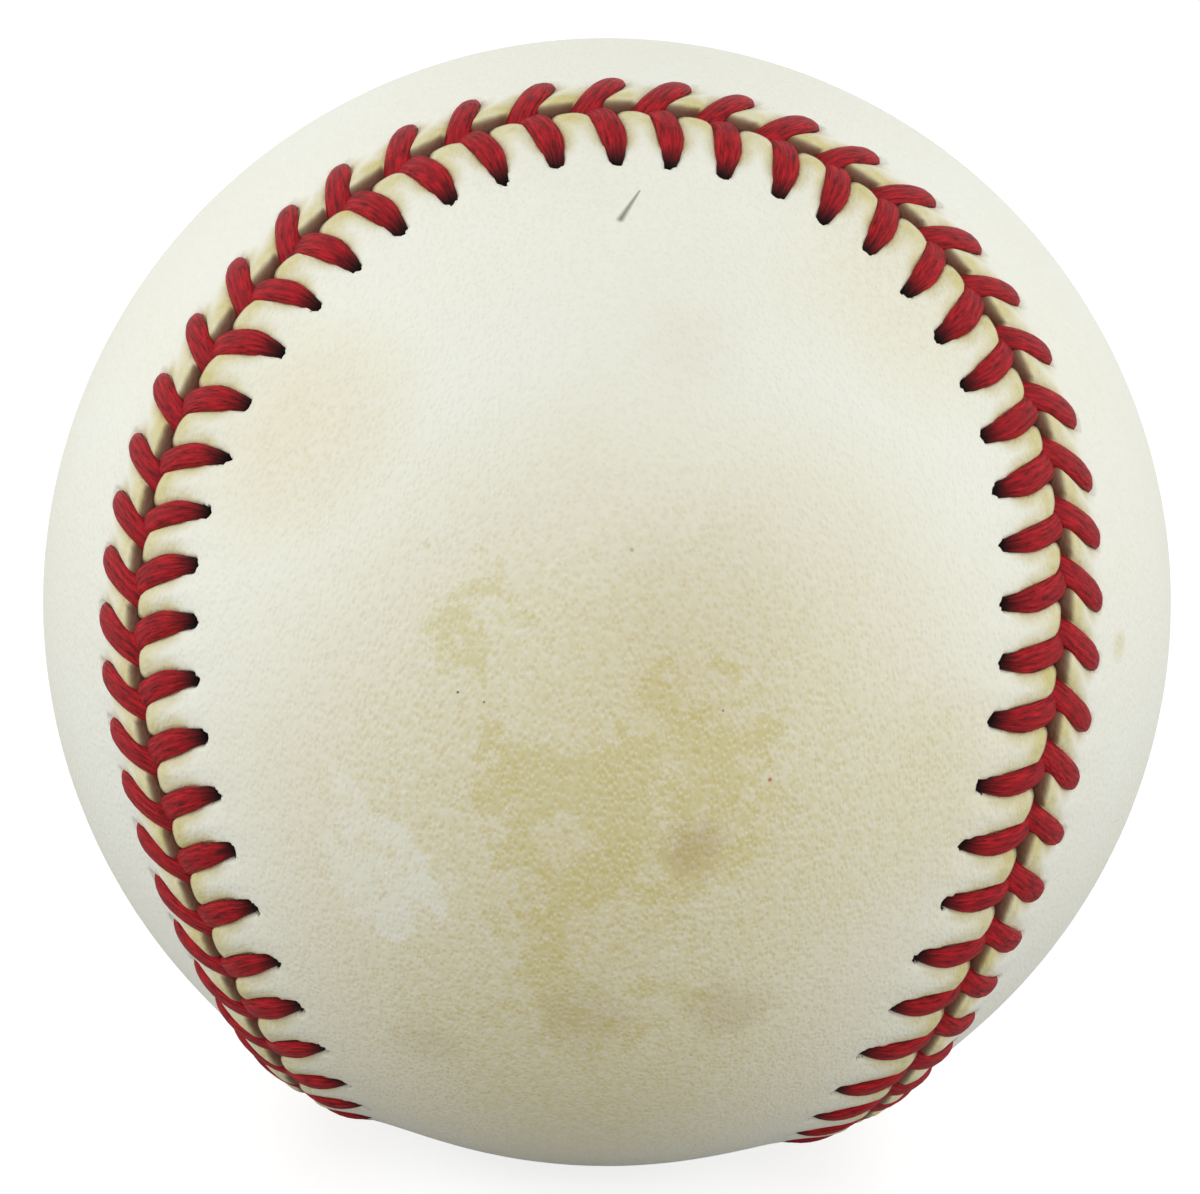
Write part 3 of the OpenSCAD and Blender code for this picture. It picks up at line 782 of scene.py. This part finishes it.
def cover_leather(cover):
    """Alum-tanned cowhide, cream and matt, with fine grain and pores and yellowed by handling."""
    material, add, shader, place = start_material("alum_tanned_cowhide")
    # Sizes of the patterns, and how far noise carries the marks, in millimetres
    cloud, tear, mottle, rag, crease, shift = 16, 2.8, 0.4, 0.2857, 0.8333, 6.0
    # A broad soft haze, and a yellow film that has flaked off in places, so that its edges are torn
    clouds = add("TexNoise", {"Vector": place, "Scale": 1 / cloud, "Detail": 5.0})
    tears = add("TexNoise", {"Vector": place, "Scale": 1 / tear, "Detail": 10.0, "Roughness": 0.78})
    bent = add("VectorMath", {0: tears.outputs["Color"], "Scale": shift}, operation="SCALE")
    strayed = add("VectorMath", [place, bent], operation="ADD")
    coated = add("Math", [tears, spots(add, strayed, PATCHES, shift / 2)], operation="ADD")
    flaked = add("Math", [coated, spots(add, strayed, BARE, shift / 2)], operation="SUBTRACT")
    film = add("MapRange", [flaked, 0.7, 0.75, 0.0, 0.34])
    bare = add("MapRange", [flaked, 0.18, 0.25, 0.4, 1.0])
    haze = add("Math", [spots(add, place, HAZE, 0), bare], operation="MULTIPLY")
    # The grain takes the yellow unevenly
    grain = add("TexNoise", {"Vector": place, "Scale": 1 / mottle, "Detail": 3.0})
    mottled = add("MapRange", [grain, 0.35, 0.65, 0.75, 1.25])
    uneven = add("MapRange", [clouds, 0.4, 0.65, 0.0, 0.08])
    hazy = add("Math", [haze, mottled, uneven], operation="MULTIPLY_ADD", use_clamp=True)
    # Hair pores are longer than wide, hold dirt where the leather is stained and hardly show
    # elsewhere. Each has a painted highlight on its lower lip: the same pattern a little further down
    pore_shape, highlight_shift, highlight_strength = (1.0, 1.0, 0.62), (0.0, 0.0, 0.07), 3.0
    lying = add("Mapping", {"Vector": place, "Scale": pore_shape})
    beneath = add("VectorMath", [lying, highlight_shift], operation="ADD")
    cells = [add("TexVoronoi", {"Vector": at, "Scale": MM / cover.grain}) for at in (lying, beneath)]
    pore, lip = (add("MapRange", [cell, 0.05, 0.65, 1.0, 0.0], interpolation_type="SMOOTHSTEP")
                 for cell in cells)
    stained = add("MapRange", [haze, 0.1, 0.5, 0.04, 0.2])
    held = add("Math", [stained, mottled], operation="MULTIPLY")
    speck = add("Math", [pore, held], operation="MULTIPLY")
    # Painted highlight: the shifted pore pattern, lighter just below each pore
    lit_lower_lip = add("Math", [lip, pore], operation="SUBTRACT", use_clamp=True)
    painted_highlight = add("Math", [lit_lower_lip, held], operation="MULTIPLY")
    ridge = add("Math", [painted_highlight, highlight_strength], operation="MULTIPLY", use_clamp=True)
    # The tabs are yellowed towards the slit by handling and by painted shade, and the slit and holes
    # are painted dark: raw, dirty leather and painted shade
    slit = add("Attribute", attribute_name="slit").outputs["Fac"]
    hole = add("Attribute", attribute_name="hole").outputs["Fac"]
    # Tan on the tabs towards the slit and beside the stitches: handling stain and painted shade
    rubbed_and_shaded = add("MapRange", [slit, 0.0, 0.62, 0.0, 0.72])
    blotched = add("MapRange", [tears, 0.35, 0.65, 0.6, 1.5])
    yellowed = add("Math", [rubbed_and_shaded, blotched], operation="MULTIPLY", use_clamp=True)
    # Painted shade and dirt at the cut edge in the slit
    slit_shade_and_raw_edge = add("MapRange", [slit, 0.84, 1.0, 0.0, 0.97], interpolation_type="SMOOTHSTEP")
    # Dark in and round the holes: dirt, and painted shade inside the hole
    torn = add("TexNoise", {"Vector": place, "Scale": 1 / rag, "Detail": 3.0})
    ragged = add("Math", [torn, 0.9, hole], operation="MULTIPLY_ADD")
    torn_hole = add("MapRange", [ragged, 0.8, 1.05])
    coat = cover.cream
    for shown, tint in (
        (hazy, cover.tan),
        (film, cover.film),
        # Painted highlight on the lower lip of each pore
        (ridge, cover.cream),
        (speck, cover.pore),
        (spots(add, strayed, BROWNED, shift / 2), cover.brown),
        (spots(add, place, DOTS, 0), cover.edge),
        (spots(add, place, RED_DOTS, 0), cover.red_dot),
        (streak(add, place), cover.streak),
        (yellowed, cover.tab),
        (slit_shade_and_raw_edge, cover.slit),
        (torn_hole, cover.edge),
    ):
        coat = add("Mix", {FACTOR: shown, A: coat, B: tint}, data_type="RGBA")
    # Each pore is a dimple, and fine creases run between them
    creases = add("TexNoise", {"Vector": place, "Scale": 1 / crease, "Detail": 6.0, "Roughness": 0.6})
    depth = add("Math", [pore, -0.5, creases], operation="MULTIPLY_ADD")
    bump = add("Bump", {"Height": depth, "Strength": 0.6, "Distance": 0.1 * MM})
    join(shader, {
        "Base Color": coat, "Normal": bump, "Roughness": 0.62, "Specular IOR Level": 0.35,
        "Sheen Weight": 0.1})
    return material


def waxed_thread(thread):
    """Waxed red cotton of two plies, with fine fibres along it and a soft sheen."""
    material, add, shader, _ = start_material("waxed_cotton_thread")
    # Length of a fibre in millimetres, and how many lie side by side round the thread
    fibre_length, fibres_round = 1.25, 22.4
    uv = add("UVMap", uv_map="along_and_round")
    drawn_out = add("Mapping", {"Vector": uv, "Scale": (1 / fibre_length, fibres_round, 1.0)})
    strands = add("TexNoise", {"Vector": drawn_out, "Scale": 1.0, "Detail": 5.0, "Roughness": 0.7})
    darker = add("MapRange", [strands, 0.39, 0.64, 0.0, 0.9])
    # The crease between the plies wanders along the top and the bottom, a quarter way round,
    # and is darkened there as painted shade
    wander = 0.12
    way_round = add("SeparateXYZ", {"Vector": uv}).outputs["Y"]
    strayed = add("Math", [strands, wander, way_round], operation="MULTIPLY_ADD")
    from_top = add("Math", [strayed, 0.25 + wander / 2], operation="SUBTRACT")
    half_way = add("Math", [from_top, 0.5], operation="PINGPONG")
    beside = add("Math", [half_way, 0.25], operation="PINGPONG")
    crease = add("MapRange", [beside, 0.0, 0.05, 0.6, 0.0])
    shade = add("Math", [darker, crease], operation="MAXIMUM")
    plied = add("Mix", {FACTOR: shade, A: thread.crimson, B: thread.shade}, data_type="RGBA")
    # A stitch is darker towards its hole: dirt, and painted shade in the mouth of the hole
    hole = add("Attribute", attribute_name="hole").outputs["Fac"]
    uneven = add("Math", [strands, 0.5, hole], operation="MULTIPLY_ADD")
    sooty_and_shaded = add("MapRange", [uneven, 0.3, 1.15])
    dark = add("Mix", {FACTOR: sooty_and_shaded, A: plied, B: thread.soot_and_shade}, data_type="RGBA")
    bump = add("Bump", {"Height": strands, "Strength": 0.7, "Distance": 0.2 * MM})
    join(shader, {
        "Base Color": dark, "Normal": bump, "Roughness": 0.5, "Specular IOR Level": 0.14,
        "Sheen Weight": 0.02})
    return material


def tone(tint, share_left, towards=0):
    """A colour with a share of it left and the rest of another brightness."""
    return [mix(towards, c, share_left) for c in tint[:3]] + [1]


def wound_yarn(name, tint, spacing, roughness):
    """Yarn wound round the ball in all directions. Each patch shows the turns of one direction."""
    material, add, shader, place = start_material(name)
    # Sizes of the patterns in millimetres
    patch, wave, fibre = 14.29, 3.333, 0.25
    patches = add("TexVoronoi", {"Vector": place, "Scale": 1 / patch})
    direction = add("VectorMath", [patches.outputs["Color"], (0.5, 0.5, 0.5)], operation="SUBTRACT")
    unit = add("VectorMath", [direction], operation="NORMALIZE")
    waves = add("TexNoise", {"Vector": place, "Scale": 1 / wave})
    across = add("VectorMath", [place, unit], operation="DOT_PRODUCT")
    uneven = add("Math", [waves, spacing * 1.5, across], operation="MULTIPLY_ADD")
    turns = add("Math", [uneven, TURN / spacing], operation="MULTIPLY")
    yarn = add("Math", [turns], operation="SINE")
    fibres = add("TexNoise", {"Vector": place, "Scale": 1 / fibre, "Detail": 4.0})
    height = add("Math", [yarn, fibres], operation="ADD")
    # Painted shade: the yarn is darker between its turns, where it lies lower
    between = add("MapRange", [height, -0.8, 1.2, 0.75, 0.0])
    coloured = add("Mix", {FACTOR: between, A: tint, B: tone(tint, 0.35)}, data_type="RGBA")
    bump = add("Bump", {"Height": height, "Strength": 0.8, "Distance": spacing * 0.3 * MM})
    join(shader, {"Base Color": coloured, "Normal": bump, "Roughness": roughness})
    return material


def moulded_rubber(name, tint):
    """Moulded rubber: dull, with a fine dusty skin."""
    material, add, shader, place = start_material(name)
    speckle = 0.4
    skin = add("TexNoise", {"Vector": place, "Scale": 1 / speckle, "Detail": 5.0})
    dust = add("MapRange", [skin, 0.45, 0.75, 0.0, 0.3])
    dusty = add("Mix", {FACTOR: dust, A: tint, B: tone(tint, 0.6, towards=0.6)}, data_type="RGBA")
    bump = add("Bump", {"Height": skin, "Strength": 0.3, "Distance": 0.05 * MM})
    join(shader, {"Base Color": dusty, "Normal": bump, "Roughness": 0.7})
    return material


def pressed_cork(tint, binder):
    """Composition cork: granules of 1 to 2 mm pressed with a dark binder."""
    material, add, shader, place = start_material("composition_cork")
    granule = 1.429
    granules = add("TexVoronoi", {"Vector": place, "Scale": 1 / granule})
    inside = add("TexVoronoi", {"Vector": place, "Scale": 1 / granule}, feature="DISTANCE_TO_EDGE")
    tones = add("SeparateColor", {"Color": granules.outputs["Color"]})
    toned = add("Mix", {FACTOR: tones, A: tint, B: tone(tint, 0.45)}, data_type="RGBA")
    seams = add("MapRange", [inside, 0.0, 0.06, 1.0, 0.0])
    bound = add("Mix", {FACTOR: seams, A: toned, B: binder}, data_type="RGBA")
    bump = add("Bump", {"Height": inside, "Strength": 0.5, "Distance": 0.1 * MM})
    join(shader, {"Base Color": bound, "Normal": bump, "Roughness": 0.85})
    return material


def dress(node, material):
    """Gives a solid of the frame its finish."""
    solid = frame["nodes"][node]
    if not solid.material_slots:
        solid.data.materials.append(material)
    for slot in solid.material_slots:
        slot.material = material


# Operators

class BaseballStep:
    """What the operators share: they change the scene and can be undone."""
    bl_options = {"REGISTER", "UNDO"}


class BASEBALL_OT_core(BaseballStep, bpy.types.Operator):
    """Finish the cork centre and its rubber layers"""
    bl_idname = "baseball.core"
    bl_label = "Core"

    def execute(self, context):
        core = context.scene.baseball_core
        black = moulded_rubber("moulded_black_rubber", core.black_rubber)
        red = moulded_rubber("moulded_red_rubber", core.red_rubber)
        dress("cork_core", pressed_cork(core.cork, core.binder))
        for node in ("inner_rubber_lower", "inner_rubber_upper"):
            dress(node, black)
        for node in ("rubber_gasket", "outer_rubber_coat"):
            dress(node, red)
        return {"FINISHED"}


class BASEBALL_OT_windings(BaseballStep, bpy.types.Operator):
    """Finish the wool and cotton windings and the coat of cement"""
    bl_idname = "baseball.windings"
    bl_label = "Windings"

    def execute(self, context):
        core = context.scene.baseball_core
        dress("first_wool_winding", wound_yarn("wound_grey_four_ply_wool", core.grey_wool, 1.6, 0.9))
        dress("second_wool_winding", wound_yarn("wound_white_three_ply_wool", core.white_wool, 1.2, 0.9))
        dress("third_wool_winding", wound_yarn("wound_grey_three_ply_wool", core.grey_wool, 1.2, 0.9))
        dress("cotton_winding", wound_yarn("wound_cotton_yarn", core.cotton, 0.5, 0.8))
        dress("cement_coat", wound_yarn("rubber_cement_over_yarn", core.cement, 0.6, 0.35))
        return {"FINISHED"}


class BASEBALL_OT_cover(BaseballStep, bpy.types.Operator):
    """Make the two leather panels with their tabs and awl holes"""
    bl_idname = "baseball.cover"
    bl_label = "Leather cover"

    def execute(self, context):
        scene = context.scene
        seam = SeamLine(scene.baseball_seam)
        stitches = Stitches(seam, scene.baseball_thread)
        leather = cover_leather(scene.baseball_cover)
        # The stitch at the tip of a lobe: three quarters of the way round for the upper panel
        tips = {LOWER: 0, UPPER: seam.settings.stitches * 3 // 4}
        for node, side in (("lower_cover_panel", LOWER), ("upper_cover_panel", UPPER)):
            shape = PanelShape(seam, stitches, scene.baseball_cover, side)
            panel = cover_panel("leather_" + node, shape, tips[side])
            panel.data.materials.append(leather)
            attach(panel, BODY)
            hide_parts(node)
        return {"FINISHED"}


class BASEBALL_OT_lacing(BaseballStep, bpy.types.Operator):
    """Lace the cover with the threads of two needles"""
    bl_idname = "baseball.lacing"
    bl_label = "Lacing"

    def execute(self, context):
        scene = context.scene
        stitches = Stitches(SeamLine(scene.baseball_seam), scene.baseball_thread)
        cotton = waxed_thread(scene.baseball_thread)
        for node, first_side in (("first_needle_thread", LOWER), ("second_needle_thread", UPPER)):
            thread = needle_thread("waxed_" + node, ThreadPath(stitches, first_side))
            thread.data.materials.append(cotton)
            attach(thread, BODY)
            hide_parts(node)
        return {"FINISHED"}


class BASEBALL_OT_studio(BaseballStep, bpy.types.Operator):
    """Set up the floor, the lights and the camera"""
    bl_idname = "baseball.studio"
    bl_label = "Studio"

    def execute(self, context):
        studio = context.scene.baseball_studio
        ball_radius = context.scene.baseball_seam.ball_radius
        self.make_camera(context, studio, ball_radius)
        self.make_lamps(context, studio)
        self.make_world(context, studio)
        self.make_floor(context, studio, ball_radius)
        return {"FINISHED"}

    def make_camera(self, context, studio, ball_radius):
        # The middle of the ball in the whole image, right of and below the image's own middle
        ball_right, ball_down = 7, 5
        data = bpy.data.cameras.new("camera")
        camera = new_object("camera", data)
        context.scene.camera = camera
        elevation, roll = studio.elevation, studio.roll
        back = Vector((0, -math.cos(elevation), math.sin(elevation)))
        level = Vector((1, 0, 0))
        upward = back.cross(level)
        right = level * math.cos(roll) + upward * math.sin(roll)
        up = upward * math.cos(roll) - level * math.sin(roll)
        axes = Matrix((right, up, back)).transposed()
        camera.matrix_world = Matrix.Translation(back * studio.distance) @ axes.to_4x4()
        distance_in_radii = studio.distance / ball_radius
        focal_pixels = studio.ball_pixels * math.sqrt(distance_in_radii ** 2 - 1)
        data.lens = focal_pixels / IMAGE_WIDTH * data.sensor_width
        data.shift_x = -ball_right / IMAGE_WIDTH
        data.shift_y = ball_down / IMAGE_WIDTH
        data.clip_start, data.clip_end = 0.01, 20

    def make_lamps(self, context, studio):
        # Place, size in metres and share of the lamp power
        lamps = (
            ("front_lamp", (0, -0.5, 0.19), 0.4, 0.72),
            ("left_lamp", (-0.5, -0.05, 0.08), 0.3, 1.18),
            ("right_lamp", (0.5, -0.05, 0.02), 0.3, 1.38),
        )
        for name, place, width, power in lamps:
            data = bpy.data.lights.new(name, "AREA")
            data.shape = "DISK"
            data.size = width
            data.energy = studio.lamp_power * power
            lamp = new_object(name, data)
            lamp.location = place
            lamp.rotation_mode = "QUATERNION"
            lamp.rotation_quaternion = (-Vector(place)).to_track_quat("-Z", "Y")

    def make_world(self, context, studio):
        world = bpy.data.worlds.new("even_white_light")
        context.scene.world = world
        add = empty_tree(world)
        rays = add("LightPath").outputs
        seen = rays["Is Camera Ray"]
        for ray in ("Is Glossy Ray", "Is Transmission Ray"):
            seen = add("Math", [seen, rays[ray]], operation="MAXIMUM")
        strength = add("MapRange", {"Value": seen, "To Min": studio.world_strength})
        light = add("Background", {"Color": linear("FFFFFF"), "Strength": strength})
        add("OutputWorld", {"Surface": light})

    def make_floor(self, context, studio, ball_radius):
        half_width, whiteness = 5, 0.75
        bm = bmesh.new()
        bmesh.ops.create_grid(bm, x_segments=1, y_segments=1, size=half_width)
        bmesh.ops.translate(bm, verts=bm.verts, vec=(0, 0, -ball_radius))
        floor = finish_mesh(bm, "floor")
        material = bpy.data.materials.new("matt_white_floor")
        add = empty_tree(material)
        seen = add("LightPath").outputs["Is Camera Ray"]
        paint = add("BsdfDiffuse", {"Color": studio.floor})
        glow = add("Math", [seen, whiteness], operation="MULTIPLY")
        white = add("Emission", {"Strength": glow})
        add("OutputMaterial", {"Surface": add("AddShader", [paint, white])})
        floor.data.materials.append(material)


class BASEBALL_PT_sidebar(bpy.types.Panel):
    """The baseball's sizes and colours, and a button for each group of its pieces"""
    bl_label = "Baseball"
    bl_space_type = "VIEW_3D"
    bl_region_type = "UI"
    bl_category = "Baseball"

    def draw(self, context):
        for name, group in GROUPS.items():
            box = self.layout.box()
            box.label(text=name.replace("_", " ").capitalize())
            for prop in group.__annotations__:
                box.prop(getattr(context.scene, name), prop)
        for operator in OPERATORS:
            self.layout.operator(operator.bl_idname)


OPERATORS = (
    BASEBALL_OT_core, BASEBALL_OT_windings, BASEBALL_OT_cover, BASEBALL_OT_lacing, BASEBALL_OT_studio)
CLASSES = tuple(GROUPS.values()) + OPERATORS + (BASEBALL_PT_sidebar,)


def register():
    for cls in CLASSES:
        bpy.utils.register_class(cls)
    for name, group in GROUPS.items():
        setattr(bpy.types.Scene, name, bpy.props.PointerProperty(type=group))


def unregister():
    for name in GROUPS:
        delattr(bpy.types.Scene, name)
    for cls in reversed(CLASSES):
        bpy.utils.unregister_class(cls)


def main():
    register()
    bpy.context.scene.view_settings.view_transform = "Standard"
    bpy.ops.baseball.core()
    bpy.ops.baseball.windings()
    bpy.ops.baseball.cover()
    bpy.ops.baseball.lacing()
    bpy.ops.baseball.studio()


if __name__ == "__main__":
    main()
